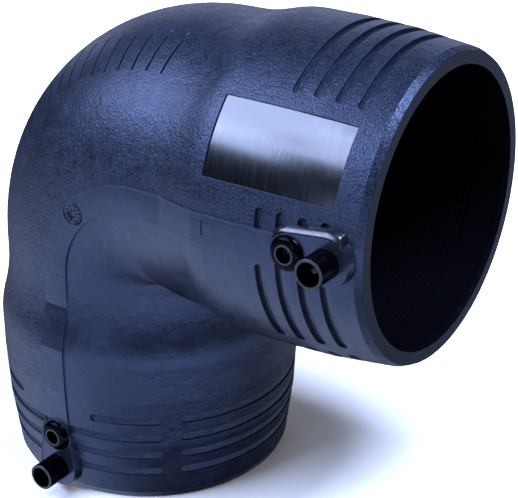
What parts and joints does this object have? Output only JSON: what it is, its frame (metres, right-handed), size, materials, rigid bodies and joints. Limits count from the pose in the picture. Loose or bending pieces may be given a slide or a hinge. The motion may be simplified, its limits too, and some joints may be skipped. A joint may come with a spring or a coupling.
{
  "type": "electrofusion elbow",
  "caption": "Ninety degree electrofusion elbow for plastic pressure pipe, with shrouded terminals and fusion indicators on each socket.",
  "frame": {"origin": "centre of the lower socket's mouth, on the axis of its bore", "axes": "-Z out of the lower socket's mouth, +X out of the side socket's mouth, -Y towards the terminals"},
  "size_m": [0.2417, 0.1655, 0.2417],
  "materials": {
    "body_plastic": "moulded, fine matte grain, blue-black",
    "winding_wire": "heating wire under a thin black plastic skin",
    "pin_metal": "turned brass",
    "indicator_plastic": "moulded, black"
  },
  "bodies": {
    "root": {"elbow_body": "body_plastic", "heating_winding_lower": "winding_wire", "heating_winding_side": "winding_wire", "terminal_pin_lower": "pin_metal", "terminal_pin_side": "pin_metal", "indicator_pin_lower": "indicator_plastic", "indicator_pin_side": "indicator_plastic"}
  },
  "joints": []
}
